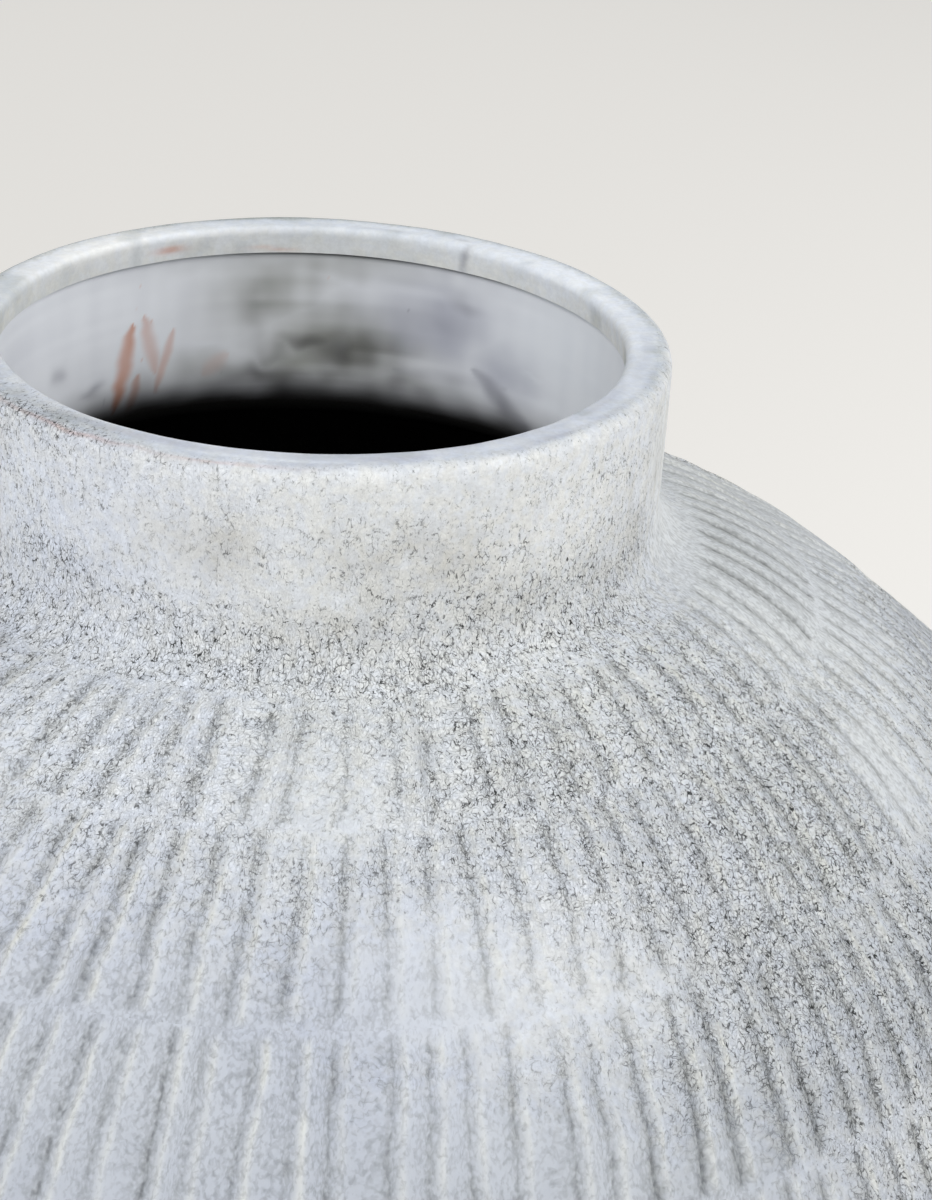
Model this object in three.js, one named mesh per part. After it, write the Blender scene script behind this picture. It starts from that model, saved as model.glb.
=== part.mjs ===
// A large hand-built flower pot of whitewashed terracotta, wide in the belly, with a short straight neck.
// Its wall is raised in bands of clay. Each band sits on the one below in a V joint, luted with slip.
// The foot ring, base slab, neck collar and rim ring are made on their own and luted on.
// Millimetres, +Z up, with the origin on the floor under the middle of the pot.
import * as THREE from 'three';

// The pot's outline: outside radii from its axis, and heights from one place to the next.
const BELLY_RADIUS = 271;
const NECK_RADIUS = 102;
const WALL_FOOT_RADIUS = 150; // where the wall stands on the base slab
const CROWN_RADIUS = 13; // how far from the axis the centre of the shoulder's ellipse lies
const FOOT_SLOPE = 36; // degrees from level at which the wall leaves the base slab
const WAIST_RISE = 207; // base slab's top up to the widest place
const SHOULDER_RISE = 204; // widest place up to the foot of the neck
const NECK_HEIGHT = 55; // foot of the neck up to the rim's top

// The wall and its bands.
const WALL = 11;
const WALL_BANDS = 10;
const BAND_BULGE = 1; // how far a band swells out between its two joints
const JOINT_RIDGE = 3; // height of the V ridge on which the next band sits
const SLIP_GAP = 0.3; // thickness of the slip in a joint

// The base slab, its seam coil and the foot ring.
const BASE_THICKNESS = 14;
const BASE_TAPER = 9; // how far the slab draws in from its top to its underside
const DRAIN_RADIUS = 12;
const SEAM_COIL_LEG = 16; // reach of the coil along the slab and up the wall
const FOOT_HEIGHT = 6;
const FOOT_WIDTH = 22;
const FOOT_INSET = 5; // step in from the slab's underside to the foot ring

// The neck collar and the rim ring.
const NECK_WALL = 10.5;
const NECK_FILLET = 12; // reach of the collar's foot along the shoulder, and of its curve up the neck
const NECK_LIP_ROUND = 12; // reach of the rounded lower lip inside the neck
const RIM_WIDTH = 13;
const RIM_HEIGHT = 8.5;
const RIM_OUTER_ROUND = 5;
const RIM_INNER_ROUND = 3;

// How finely round shapes are divided.
const TURN_STEPS = 48;
const BAND_STEPS = 3;
const ROUND_STEPS = 3;

const slabTop = FOOT_HEIGHT + BASE_THICKNESS;
const slabFootRadius = WALL_FOOT_RADIUS - BASE_TAPER;
const waist = slabTop + WAIST_RISE;
const neckFoot = waist + SHOULDER_RISE;
const rimTop = neckFoot + NECK_HEIGHT;
const neckTop = rimTop - RIM_HEIGHT;

const point = (radius, height) => new THREE.Vector2(radius, height);
const mix = (a, b) => a.clone().lerp(b, 0.5);
const along = (from, direction, distance) => from.clone().addScaledVector(direction, distance);

// The wall's outside, from the base slab to the foot of the neck, as fractions of its length.
const wallCurve = makeWallCurve();
const wallLength = wallCurve.getLength();
const collarStart = 1 - NECK_FILLET / wallLength;

function makeWallCurve() {
  const reach = BELLY_RADIUS - CROWN_RADIUS;
  const neckAngle = Math.acos((NECK_RADIUS - CROWN_RADIUS) / reach);
  const footRise = (BELLY_RADIUS - WALL_FOOT_RADIUS) * Math.tan(THREE.MathUtils.degToRad(FOOT_SLOPE));
  const curve = new THREE.CurvePath();
  curve.add(new THREE.QuadraticBezierCurve(
    point(WALL_FOOT_RADIUS, slabTop),
    point(BELLY_RADIUS, slabTop + footRise),
    point(BELLY_RADIUS, waist),
  ));
  curve.add(new THREE.EllipseCurve(
    CROWN_RADIUS, waist, reach, SHOULDER_RISE / Math.sin(neckAngle), 0, neckAngle,
  ));
  return curve;
}

// A place on the wall: its outside and inside points, the way up along it and the way in through it.
function wallAt(fraction) {
  const outside = wallCurve.getPoint(fraction);
  const up = wallCurve.getTangent(fraction);
  const inward = point(-up.y, up.x);
  return { outside, up, inward, inside: along(outside, inward, WALL) };
}

// The V joint across the wall at a place, from the outside to the inside, raised by the slip's thickness.
function jointAt(fraction, slip) {
  const { outside, up, inside } = wallAt(fraction);
  return [
    along(outside, up, slip),
    along(mix(outside, inside), up, JOINT_RIDGE + slip),
    along(inside, up, slip),
  ];
}

// The flat end of the wall on the base slab, from the outside to the inside.
function wallFootFace() {
  const { outside, up, inside } = wallAt(0);
  return [outside, along(inside, up, (slabTop - inside.y) / up.y)];
}

// A rounded corner between two points, drawn towards the corner where their edges would meet.
function roundedCorner(from, corner, to) {
  return new THREE.QuadraticBezierCurve(from, corner, to).getPoints(ROUND_STEPS);
}

// A ring turned about the pot's axis from a closed outline of points (radius, height).
function turnedRing(name, outline, material) {
  const geometry = new THREE.LatheGeometry([...outline, outline[0]], TURN_STEPS);
  geometry.rotateX(Math.PI / 2);
  const mesh = new THREE.Mesh(geometry, material);
  mesh.name = name;
  return mesh;
}

function clay(color, roughness) {
  return new THREE.MeshStandardMaterial({ color, roughness, metalness: 0 });
}

function footRing() {
  const outer = slabFootRadius - FOOT_INSET;
  const inner = outer - FOOT_WIDTH;
  return turnedRing('foot_ring', [
    point(inner, 0), point(outer, 0), point(outer, FOOT_HEIGHT), point(inner, FOOT_HEIGHT),
  ], clay(0xb9a99c, 0.95));
}

function baseSlab() {
  return turnedRing('base_slab', [
    point(DRAIN_RADIUS, FOOT_HEIGHT), point(slabFootRadius, FOOT_HEIGHT),
    point(WALL_FOOT_RADIUS, slabTop), point(DRAIN_RADIUS, slabTop),
  ], clay(0xa08f84, 0.95));
}

// A coil of soft clay pressed into the corner between the slab and the wall.
function baseSeamCoil() {
  const { up } = wallAt(0);
  const corner = along(wallFootFace()[1], point(-1, 0), SLIP_GAP / up.y);
  const onSlab = along(corner, point(-1, 0), SEAM_COIL_LEG);
  const onWall = along(corner, up, SEAM_COIL_LEG);
  return turnedRing('base_seam_coil', [onSlab, corner, onWall], clay(0x8a776b, 0.95));
}

// One band of the wall, counted from the base. The lowest stands flat on the slab.
function wallBand(index) {
  const low = index / WALL_BANDS;
  const high = Math.min((index + 1) / WALL_BANDS, collarStart);
  const foot = index === 0 ? wallFootFace() : jointAt(low, SLIP_GAP);
  const head = jointAt(high, 0);
  const outer = [];
  const inner = [];
  for (let step = 1; step < BAND_STEPS; step += 1) {
    const share = step / BAND_STEPS;
    const place = wallAt(THREE.MathUtils.lerp(low, high, share));
    outer.push(along(place.outside, place.inward, -BAND_BULGE * Math.sin(Math.PI * share)));
    inner.push(place.inside);
  }
  const number = String(index + 1).padStart(2, '0');
  const outline = [...foot.toReversed(), ...outer, ...head, ...inner.toReversed()];
  return turnedRing(`wall_band_${number}`, outline, clay(0xc8cbce, 0.95));
}

function neckCollar() {
  const joint = jointAt(collarStart, SLIP_GAP);
  const { up } = wallAt(collarStart);
  const inside = joint.at(-1);
  const boreRadius = NECK_RADIUS - NECK_WALL;
  const lip = along(inside, up, (boreRadius - inside.x) / up.x);
  const outer = roundedCorner(joint[0], point(NECK_RADIUS, neckFoot), point(NECK_RADIUS, neckFoot + NECK_FILLET));
  const inner = roundedCorner(point(boreRadius, lip.y + NECK_LIP_ROUND), lip, inside);
  return turnedRing('neck_collar', [
    ...joint.slice(1, -1), ...outer, point(NECK_RADIUS, neckTop), point(boreRadius, neckTop), ...inner,
  ], clay(0xd2d6d9, 0.9));
}

function rimRing() {
  const inner = NECK_RADIUS - RIM_WIDTH;
  return turnedRing('rim_ring', [
    point(inner, neckTop),
    point(NECK_RADIUS, neckTop),
    ...roundedCorner(
      point(NECK_RADIUS, rimTop - RIM_OUTER_ROUND), point(NECK_RADIUS, rimTop),
      point(NECK_RADIUS - RIM_OUTER_ROUND, rimTop),
    ),
    ...roundedCorner(
      point(inner + RIM_INNER_ROUND, rimTop), point(inner, rimTop), point(inner, rimTop - RIM_INNER_ROUND),
    ),
  ], clay(0xd4d8db, 0.9));
}

const flowerPot = new THREE.Group();
flowerPot.add(footRing(), baseSlab(), baseSeamCoil());
for (let index = 0; index < WALL_BANDS; index += 1) {
  flowerPot.add(wallBand(index));
}
flowerPot.add(neckCollar(), rimRing());

export default flowerPot;
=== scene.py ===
"""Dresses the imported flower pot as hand-built terracotta under a crackled, whitewashed finish.

Every piece is a ring about the pot's axis: a closed section carried round in columns, with tool strokes,
hand-made unevenness and named patches of wear worked into its points. All lengths are metres.
"""

import math
from functools import cached_property

import bpy
import numpy as np
from mathutils import Matrix, Vector


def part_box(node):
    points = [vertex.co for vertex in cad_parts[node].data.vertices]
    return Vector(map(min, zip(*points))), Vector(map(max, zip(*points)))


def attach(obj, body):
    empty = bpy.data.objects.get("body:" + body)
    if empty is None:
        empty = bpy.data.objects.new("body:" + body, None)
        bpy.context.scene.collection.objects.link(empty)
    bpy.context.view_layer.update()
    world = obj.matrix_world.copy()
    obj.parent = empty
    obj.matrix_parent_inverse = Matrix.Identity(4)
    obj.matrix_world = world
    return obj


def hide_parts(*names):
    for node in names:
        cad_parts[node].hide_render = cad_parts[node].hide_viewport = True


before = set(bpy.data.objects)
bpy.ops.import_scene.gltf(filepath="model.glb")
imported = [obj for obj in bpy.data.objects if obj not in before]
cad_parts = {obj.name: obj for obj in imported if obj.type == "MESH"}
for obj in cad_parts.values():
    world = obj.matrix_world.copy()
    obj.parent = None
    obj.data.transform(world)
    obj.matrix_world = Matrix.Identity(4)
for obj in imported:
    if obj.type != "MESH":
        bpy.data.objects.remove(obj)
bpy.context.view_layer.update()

MM = 0.001

# Sizes of the construction that its boxes don't tell.
WALL = 11 * MM
NECK_WALL = 10.5 * MM
NECK_HEIGHT = 55 * MM
NECK_FILLET = 12 * MM
BELLY_RADIUS = 271 * MM
SHOULDER_RISE = 204 * MM
CROWN_RADIUS = 13 * MM  # from the axis to the centre of the shoulder's ellipse
FOOT_SLOPE = math.radians(36)  # from level, where the wall leaves the base slab
BAND_BULGE = 1 * MM
JOINT_RIDGE = 3 * MM  # height of the V ridge on which the next band sits
DRAIN_RADIUS = 12 * MM
FOOT_WIDTH = 22 * MM
FOOT_INSET = 5 * MM  # step in from the slab's underside to the foot ring
RIM_WIDTH = 13 * MM
SEAM_COIL_LEG = 16 * MM

# Sizes read from the frame.
BAND_NAMES = sorted(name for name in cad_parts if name.startswith("wall_band_"))
(_, _, NECK_TOP), (NECK_RADIUS, _, RIM_TOP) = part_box("rim_ring")
(_, _, SLAB_FOOT), (WALL_FOOT_RADIUS, _, SLAB_TOP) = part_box("base_slab")
FOOT_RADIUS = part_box("foot_ring")[1][0]
BORE_RADIUS = NECK_RADIUS - NECK_WALL
NECK_FOOT = RIM_TOP - NECK_HEIGHT
WAIST = NECK_FOOT - SHOULDER_RISE

# The tool strokes that flute the wall.
STROKE_PITCH = 11.2 * MM
STROKE_DEPTH = 0.85 * MM
BURR_HEIGHT = 0.4 * MM
STROKE_SEED = 7100
STROKE_EASE = 0.08  # share of a band's width over which a stroke starts and ends
NECK_EASE = 0.12  # what it takes longer to start below the neck
# One stroke across its pitch: a place, then shares of the stroke's depth, of its burr, of the soil that it
# holds, with painted shade on its steep side, and of the cream wash that the tool left smooth, with a
# painted highlight on the burr.
STROKE_SECTION = (
    (0.000, 0.14, 0.00, 0.80, 0.00),
    (0.025, 0.50, 0.00, 1.00, 0.00),
    (0.055, 0.90, 0.00, 0.90, 0.00),
    (0.095, 1.00, 0.00, 0.60, 0.00),
    (0.150, 0.92, 0.00, 0.30, 0.15),
    (0.215, 0.70, 0.05, 0.10, 0.45),
    (0.270, 0.38, 0.35, 0.03, 0.85),
    (0.305, 0.16, 0.85, 0.00, 1.00),
    (0.340, 0.08, 1.00, 0.00, 1.00),
    (0.390, 0.06, 0.55, 0.00, 0.50),
    (0.460, 0.05, 0.12, 0.00, 0.10),
    (0.640, 0.00, 0.00, 0.05, 0.00),
    (0.900, 0.04, 0.00, 0.25, 0.00),
)

# How finely the pieces are divided.
BAND_ROWS = 42
BAND_INNER_ROWS = 4
NECK_COLUMNS = 840
BASE_COLUMNS = 480
BASE_STEP = 2.5 * MM
SHARP_ANGLE = math.radians(50)  # between faces whose shared edge stays sharp

# How uneven the potter's hands left the clay, in mm: how wide, how high, and the seed of its noise.
UNEVENNESS = ((62, 0.45, 11), (19, 0.16, 23), (4.2, 0.07, 37))

# A lower piece runs on a little under the one above it, so that no seam opens between them.
UNDERLAP_REACH = 1.5 * MM
UNDERLAP_SINK = 0.35 * MM
UNDERLAP_DROP = 2.2 * MM

TURNING_PITCH = 3.4 * MM  # of the grooves turned under the slab
FINGER_DENTS = 38  # pressed round the seam coil

# The photograph's camera, found by fitting the rim, neck, shoulder and band lines.
PHOTO_HEIGHT = 1200
FOCAL_PIXELS = 2872.6
SENSOR_HEIGHT_MM = 24
CAMERA_BACK = 767.8 * MM
CAMERA_ABOVE_RIM = 287.7 * MM
CAMERA_PITCH, CAMERA_YAW, CAMERA_ROLL = (math.radians(angle) for angle in (25.79, 3.56, 3.41))


def srgb(red, green, blue):
    """A colour given as it looks on a screen, from 0 to 255, as the linear colour that shaders take."""
    shares = np.array((red, green, blue)) / 255
    return np.where(shares <= 0.04045, shares / 12.92, ((shares + 0.055) / 1.055) ** 2.4)


# Colours of the washes, of the dirt on them, of painted shade and highlight, and of the clay.
CREAM_WASH = srgb(229, 233, 236)
COOL_WASH = srgb(215, 221, 234)
PALE_WASH = srgb(244, 246, 246)
LOW_SHADE_GREY = srgb(173, 180, 194)
PALE_BURR_AND_HIGHLIGHT = srgb(228, 230, 226)
WARM_STAIN = srgb(186, 182, 170)
GREY_DIRT_AND_SHADE = srgb(164, 166, 160)
GROOVE_SHADE = srgb(122, 125, 121)
CRACK_AND_SHADE = srgb(52, 54, 54)
BORE_WASH = srgb(247, 250, 255)
OLIVE_GREY = srgb(150, 152, 144)
OLIVE_DIRT = srgb(84, 84, 79)
LILAC_GREY = srgb(180, 183, 196)
LILAC_DARK = srgb(124, 125, 138)
LILAC_WHITE = srgb(244, 249, 255)
RIM_WASH = srgb(211, 218, 227)
RIM_FACE = srgb(238, 239, 233)
EDGE_GREEN = srgb(158, 166, 165)
LIP_SHADOW = srgb(58, 58, 58)
SALMON_CLAY = srgb(214, 158, 134)
PINK_CLAY = srgb(208, 168, 158)
BARE_CLAY = srgb(190, 138, 108)
CLAY_DUST = srgb(214, 184, 162)
DARK_CLAY = srgb(58, 50, 46)
DARK_INSIDE = srgb(24, 22, 21)

# Patches of wear: azimuth in degrees from the front, depth below the rim in mm, half sizes, strength.
# Where the wash has crackled most.
CRACKLED_PATCHES = (
    (64, 72, 14, 11, 0.22), (52, 80, 13, 12, 0.3), (46, 94, 10, 13, 0.35), (39, 107, 9, 12, 0.4),
    (35, 94, 7, 10, 0.2), (28, 70, 9, 8, 0.25), (12, 52, 20, 8, 0.15), (-27, 76, 8, 9, 0.15),
    (52, 128, 10, 18, 0.25), (120, 85, 18, 20, 0.35), (-140, 95, 16, 18, 0.35), (-95, 150, 14, 22, 0.3),
    (165, 190, 20, 25, 0.3), (75, 240, 18, 26, 0.3), (-35, 290, 20, 22, 0.25), (-170, 330, 22, 24, 0.3),
)
# Where a thicker coat of wash lies in the cracks and softens them.
VEILED_PATCHES = (
    (-34, 124, 30, 52, 1.0), (-12, 124, 24, 46, 1.0), (8, 102, 19, 24, 0.75), (10, 140, 19, 36, 1.0),
    (-36, 78, 14, 20, 0.6), (2, 74, 14, 12, 0.5), (25, 104, 11, 15, 0.55), (27, 146, 12, 28, 0.8),
    (84, 62, 26, 32, 1.0), (74, 20, 15, 30, 0.7), (-22, 26, 15, 20, 0.5), (112, 70, 20, 30, 1.0),
    (64, 92, 10, 16, 0.8), (-120, 130, 40, 60, 0.9), (150, 210, 50, 60, 0.8), (10, 300, 60, 60, 0.7),
)
# Where the strokes are worn flat.
WORN_PATCHES = (
    (9, 94, 12, 16, 0.5), (4, 68, 18, 12, 0.35), (-25, 66, 14, 13, 0.3), (8, 130, 14, 22, 0.38),
    (25, 98, 14, 19, 0.62), (42, 145, 10, 18, 0.25), (-160, 110, 20, 22, 0.7), (100, 180, 18, 25, 0.6),
    (-60, 230, 20, 25, 0.6),
)
# Where the tool cut deeper, as further shares of a stroke's depth. There the grooves also get more painted
# shade.
DEEP_PATCHES = (
    (48, 72, 20, 20, 0.2), (88, 60, 24, 26, 1.4), (34, 138, 13, 21, 0.8), (54, 130, 12, 20, 0.05),
    (-100, 120, 30, 30, 0.5), (130, 220, 30, 40, 0.6),
)
# Where the strokes lean further, in pitches, by azimuth alone.
LEANING_PATCHES = ((86, 0, 42, 1, 0.8),)
# Where the strokes raised no burr.
PLAIN_PATCHES = ((78, 80, 26, 30, 0.85),)
# Where the wash looks cooler, and where it is stained.
COOL_PATCHES = (
    (-38, 28, 26, 40, 0.75), (-24, 68, 18, 14, 0.9), (-24, 95, 22, 34, 0.85), (-18, 140, 22, 34, 0.95),
    (6, 108, 17, 30, 0.9), (18, 100, 14, 30, 0.45), (-130, 150, 40, 60, 0.8), (140, 260, 40, 60, 0.8),
)
WARM_PATCHES = (
    (17, 26, 14, 11, 0.55), (-15, 23, 7, 8, 0.6), (6, 44, 12, 7, 0.35), (57, 36, 12, 16, 0.3),
    (70, 22, 8, 22, 0.3), (32, 40, 14, 10, 0.25), (12, 48, 14, 7, 0.2), (150, 30, 25, 18, 0.6),
    (-110, 30, 20, 16, 0.5),
)
# Further coats of wash outside: what colour, and its patches as above.
WASH_COATS = (
    (PALE_WASH, (
        (42, 22, 18, 16, 0.85), (25, 96, 13, 16, 0.35), (44, 150, 8, 14, 0.55), (30, 64, 14, 12, 0.35),
    )),
    (LILAC_WHITE, ((-26, 67, 17, 14, 0.85), (-48, 25, 16, 25, 0.45))),
)
# Depths below the rim, in mm: where the neck's pale wash ends, where painted shade greys the wall lower
# down and where that shade fades again, and where the bore turns dark.
PALE_ENDS = (40, 64)
LOW_SHADE_STARTS = (66, 154)
LOW_SHADE_ENDS = (175, 330)
DARK_STARTS = (43, 60)
# Coats of colour inside the neck: what colour, and its patches as above.
BORE_COATS = (
    (OLIVE_GREY, (
        (-172, 22, 13, 18, 0.7), (174, 38, 18, 15, 0.95), (-164, 16, 5, 9, 0.4), (-158, 46, 12, 6, 0.5),
        # The patch at 178 degrees, 13 mm down, just under the rim's lip, is partly olive-grey dirt and
        # partly painted shade.
        (178, 13, 24, 6, 0.6), (20, 30, 50, 18, 0.6),
    )),
    (LILAC_GREY, ((154, 27, 15, 15, 0.9), (139, 38, 11, 12, 0.85), (-60, 28, 40, 16, 0.6))),
    (LILAC_WHITE, (
        (116, 26, 24, 24, 0.95), (150, 50, 7, 4, 0.6), (130, 36, 9, 2.0, 0.7), (127, 43, 8, 4, 0.75),
    )),
    (LILAC_DARK, (
        (149, 20, 3, 4, 0.4), (156, 27, 9, 5, 0.25), (-123, 37, 2.2, 3, 0.35), (-132.5, 47, 2, 2.2, 0.5),
    )),
    (OLIVE_DIRT, (
        (-179, 39, 6, 2.6, 0.7), (-172, 44, 3, 5, 0.55), (172, 43, 9, 8, 0.85), (-170, 50, 9, 4, 0.7),
        (166, 42, 6, 6, 0.45), (-168, 26, 2.5, 9, 0.3), (160, 50, 10, 4, 0.5),
    )),
    (OLIVE_GREY, ((-177, 46, 4.0, 3.2, 0.8),)),
)
# Brush strokes inside the neck: what colour, then each one's start and end, half width in mm and strength.
BORE_STROKES = (
    (SALMON_CLAY, (
        (-142.2, 28, -138, 56, 4.6, 0.9), (-145, 26, -147.6, 46, 4, 0.45),
        (-151.6, 32, -147.4, 52, 2.6, 0.5), (-143.6, 45, -141.4, 58, 3, 0.55),
        (-163, 42, -157.5, 49, 4.4, 0.22),
    )),
    (LILAC_DARK, ((164, 46, 138, 44, 3.6, 0.22), (147, 40, 130, 58, 5.2, 0.5))),
)
# The painted shadow line under the rim's lip: how far below the rim and how wide it is, in mm, how dark by
# azimuth.
LIP_LINE_DROP = 0.6
LIP_LINE_WIDTH = 0.8
LIP_LINE = ((176, 0, 26, 1, 0.95), (150, 0, 16, 1, 0.6), (-140, 0, 30, 1, 0.2), (115, 0, 25, 1, 0.3))
# Coats of colour on the rim: azimuth in degrees, and mm along its section from the outside foot.
RIM_COATS = (
    (RIM_FACE, ((180, 25, 400, 5, 1.0),)),
    (CREAM_WASH, ((-155, 24, 45, 5, 0.6), (172, 24, 20, 4, 0.6))),
    (EDGE_GREEN, ((180, 9.8, 95, 2.2, 0.95), (-140, 12, 25, 4, 0.15))),
    (LILAC_GREY, ((10, 17, 66, 4.0, 0.45), (60, 16, 25, 4.5, 0.25))),
    (GREY_DIRT_AND_SHADE, ((-47, 14, 14, 3.5, 0.4),)),
    (LILAC_WHITE, ((126, 18, 32, 9, 0.95), (165, 13, 12, 3, 0.5))),
    (PALE_WASH, ((-132, 18, 26, 9, 1.0),)),
    (LILAC_DARK, ((148.6, 23, 0.9, 5, 0.55), (151, 15, 2.5, 1.2, 0.25))),
    (SALMON_CLAY, ((-150, 24.0, 3.5, 1.3, 0.75), (-170, 26.0, 5.0, 0.7, 0.4))),
    (PINK_CLAY, ((-40, 8.5, 14, 0.7, 0.6), (-14, 9.0, 10, 0.5, 0.35))),
)
# Where the rim's outer edge is scuffed, placed like its coats.
SCUFFED_EDGE = ((-48, 12, 20, 8, 0.8),)

# Whole numbers that scramble the corners of the noise's lattice.
HASH_STEPS = np.array((374761393, 668265263, 2147483647), dtype=np.int64)
HASH_FACTOR = 1274126177
HASH_SHIFTS = (13, 16)
HASH_MASK = 0xFFFF


def ease(low, high, value):
    """Eases from 0 to 1 as value goes from low to high."""
    share = np.clip((value - low) / (high - low), 0, 1)
    return share * share * (3 - 2 * share)


def lattice_noise(points, cell, seed):
    """Smooth noise from -1 to 1 over points in space, with features about one cell wide."""
    scaled = points / cell
    low = np.floor(scaled).astype(np.int64)
    share = ease(0, 1, scaled - low)
    total = np.zeros(points.shape[:-1])
    for corner in np.ndindex(2, 2, 2):
        mixed = (low + corner) @ HASH_STEPS + seed * HASH_FACTOR
        mixed = (mixed ^ (mixed >> HASH_SHIFTS[0])) * HASH_FACTOR
        value = ((mixed ^ (mixed >> HASH_SHIFTS[1])) & HASH_MASK) * (2 / HASH_MASK) - 1
        total += value * np.where(corner, share, 1 - share).prod(axis=-1)
    return total


def degrees_from(centre, azimuth):
    """Degrees from a centre round to an azimuth, the shorter way."""
    return np.mod(azimuth - centre + 180, 360) - 180


def cover(patches, azimuth, depth):
    """How strongly soft-edged patches cover places at these azimuths (degrees) and depths (mm)."""
    total = 0.0
    for centre, middle, half_width, half_height, strength in patches:
        across = degrees_from(centre, azimuth) / half_width
        along = (depth - middle) / half_height
        total = np.maximum(total, strength * np.exp(-across * across - along * along))
    return total


def brush_strength(strokes, azimuth, depth, radius):
    """How strongly brush strokes cover these places. Each is a leaf shape, pointed at both its ends."""
    degree = math.radians(radius / MM)
    total = 0.0
    for from_azimuth, from_depth, to_azimuth, to_depth, half_width, strength in strokes:
        way = np.array([(to_azimuth - from_azimuth) * degree, to_depth - from_depth])
        length = np.linalg.norm(way)
        across_way, down_way = way / length
        right = degrees_from(from_azimuth, azimuth) * degree
        down = depth - from_depth
        share = np.clip((right * across_way + down * down_way) / length, 0, 1)
        aside = np.abs(right * down_way - down * across_way)
        width = half_width * np.sqrt(4 * share * (1 - share)) + 0.01
        total = np.maximum(total, strength * (1 - ease(0.1, 1.0, aside / width)))
    return total


def bezier(start, control, end, steps):
    """Points of a quadratic curve from start to end."""
    shares = np.linspace(0, 1, steps)[:, None]
    start, control, end = (np.asarray(point) for point in (start, control, end))
    return (1 - shares) ** 2 * start + 2 * shares * (1 - shares) * control + shares**2 * end


def outward_of(path, closed=False):
    """Unit vectors out of a path of (radius, height) that goes up on the outside."""
    way = np.roll(path, -1, axis=0) - np.roll(path, 1, axis=0) if closed else np.gradient(path, axis=0)
    out = np.stack([way[:, 1], -way[:, 0]], axis=1)
    return out / np.linalg.norm(out, axis=1, keepdims=True)


class WallCurve:
    """The outside of the wall, from the base slab to the foot of the neck, by fractions of its length."""

    SAMPLES = 2000

    def __init__(self):
        reach = BELLY_RADIUS - CROWN_RADIUS
        neck_angle = math.acos((NECK_RADIUS - CROWN_RADIUS) / reach)
        corner = (BELLY_RADIUS, SLAB_TOP + (BELLY_RADIUS - WALL_FOOT_RADIUS) * math.tan(FOOT_SLOPE))
        lower = bezier((WALL_FOOT_RADIUS, SLAB_TOP), corner, (BELLY_RADIUS, WAIST), self.SAMPLES)
        angles = np.linspace(0, neck_angle, self.SAMPLES)
        rise = SHOULDER_RISE / math.sin(neck_angle)
        upper = np.stack([CROWN_RADIUS + reach * np.cos(angles), WAIST + rise * np.sin(angles)], axis=1)
        self.points = np.concatenate([lower, upper[1:]])
        steps = np.linalg.norm(np.diff(self.points, axis=0), axis=1)
        lengths = np.concatenate([[0], np.cumsum(steps)])
        self.length = lengths[-1]
        self.fractions = lengths / self.length
        self.ways_up = np.gradient(self.points, lengths, axis=0)

    def at(self, fraction):
        """Outside points, the way up along the wall and the way out of it."""
        outside, up = (
            np.stack([np.interp(fraction, self.fractions, values) for values in known.T], axis=-1)
            for known in (self.points, self.ways_up)
        )
        up /= np.linalg.norm(up, axis=-1, keepdims=True)
        outward = np.stack([up[..., 1], -up[..., 0]], axis=-1)
        return outside, up, outward


WALL_CURVE = WallCurve()
COLLAR_START = 1 - NECK_FILLET / WALL_CURVE.length


class Ring:
    """A closed section of (radius, height) rows, up the outside and down the inside, carried round."""

    def __init__(self):
        self.points = []
        self.outward = []
        self.kinds = []

    def add(self, kind, points, outward=None):
        """Adds rows of one kind. Rows with no outward direction stay true to their shape."""
        points = np.atleast_2d(points)
        self.points.append(points)
        self.outward.append(np.zeros_like(points) if outward is None else np.atleast_2d(outward))
        self.kinds += [kind] * len(points)

    def close(self, angles, turns=None):
        """Places points by their columns' angles. The surface's grain may run by other angles, turns."""
        self.section = np.concatenate(self.points)[:, None, :]
        self.out = np.concatenate(self.outward)[:, None, :]
        self.angles = np.broadcast_to(angles, (len(self.section), np.shape(angles)[-1]))
        self.azimuth = np.degrees(self.angles)
        self.depth = (RIM_TOP - self.section[..., 1]) / MM
        steps = np.linalg.norm(np.diff(self.section[:, 0], axis=0), axis=1)
        self.along = np.concatenate([[0], np.cumsum(steps)])[:, None] / MM
        self.places = self.moved(0)
        turns = angles if turns is None else turns
        reach = self.section[..., 0].max()
        grain = np.broadcast_arrays(reach * np.sin(turns), reach * np.cos(turns), self.along * MM)
        self.grain = np.stack(grain, axis=-1)

    def moved(self, lift):
        """Points in space after lifting each one along its outward direction."""
        lift = np.broadcast_to(lift, self.angles.shape)[..., None]
        radius, height = np.moveaxis(self.section + self.out * lift, -1, 0)
        return np.stack([radius * np.sin(self.angles), -radius * np.cos(self.angles), height], axis=-1)

    def rows(self, *kinds):
        """1 on the rows of these kinds and 0 elsewhere."""
        return np.array([kind in kinds for kind in self.kinds], dtype=float)[:, None]

    def noise(self, size_mm, seed):
        """Smooth noise from -1 to 1, with features about this size."""
        return lattice_noise(self.places, size_mm * MM, seed)

    def streaks(self, round_mm, along_mm, seed):
        """Noise drawn out round the pot and along the section, like the drag of a brush."""
        turn = np.stack([np.sin(self.angles), np.cos(self.angles)], axis=-1) * NECK_RADIUS / (round_mm * MM)
        along = np.broadcast_to(self.along / along_mm, self.angles.shape)
        return lattice_noise(np.concatenate([turn, along[..., None]], axis=-1), 1.0, seed)


class Coats:
    """The colour of a ring's points, built up coat by coat."""

    def __init__(self, ring, colour):
        self.colour = np.tile(colour, (*ring.angles.shape, 1))

    def add(self, colour, share):
        """Covers this share of what lies below."""
        self.colour += (colour - self.colour) * np.clip(share, 0, 1)[..., None]


# Marks from 0 to 1 that a ring's points carry for its material.
MARKS = ("crackle", "soil_and_shade", "veil", "speck", "grit")


def new_object(name, data):
    made = bpy.data.objects.new(name, data)
    bpy.context.scene.collection.objects.link(made)
    return made


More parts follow.
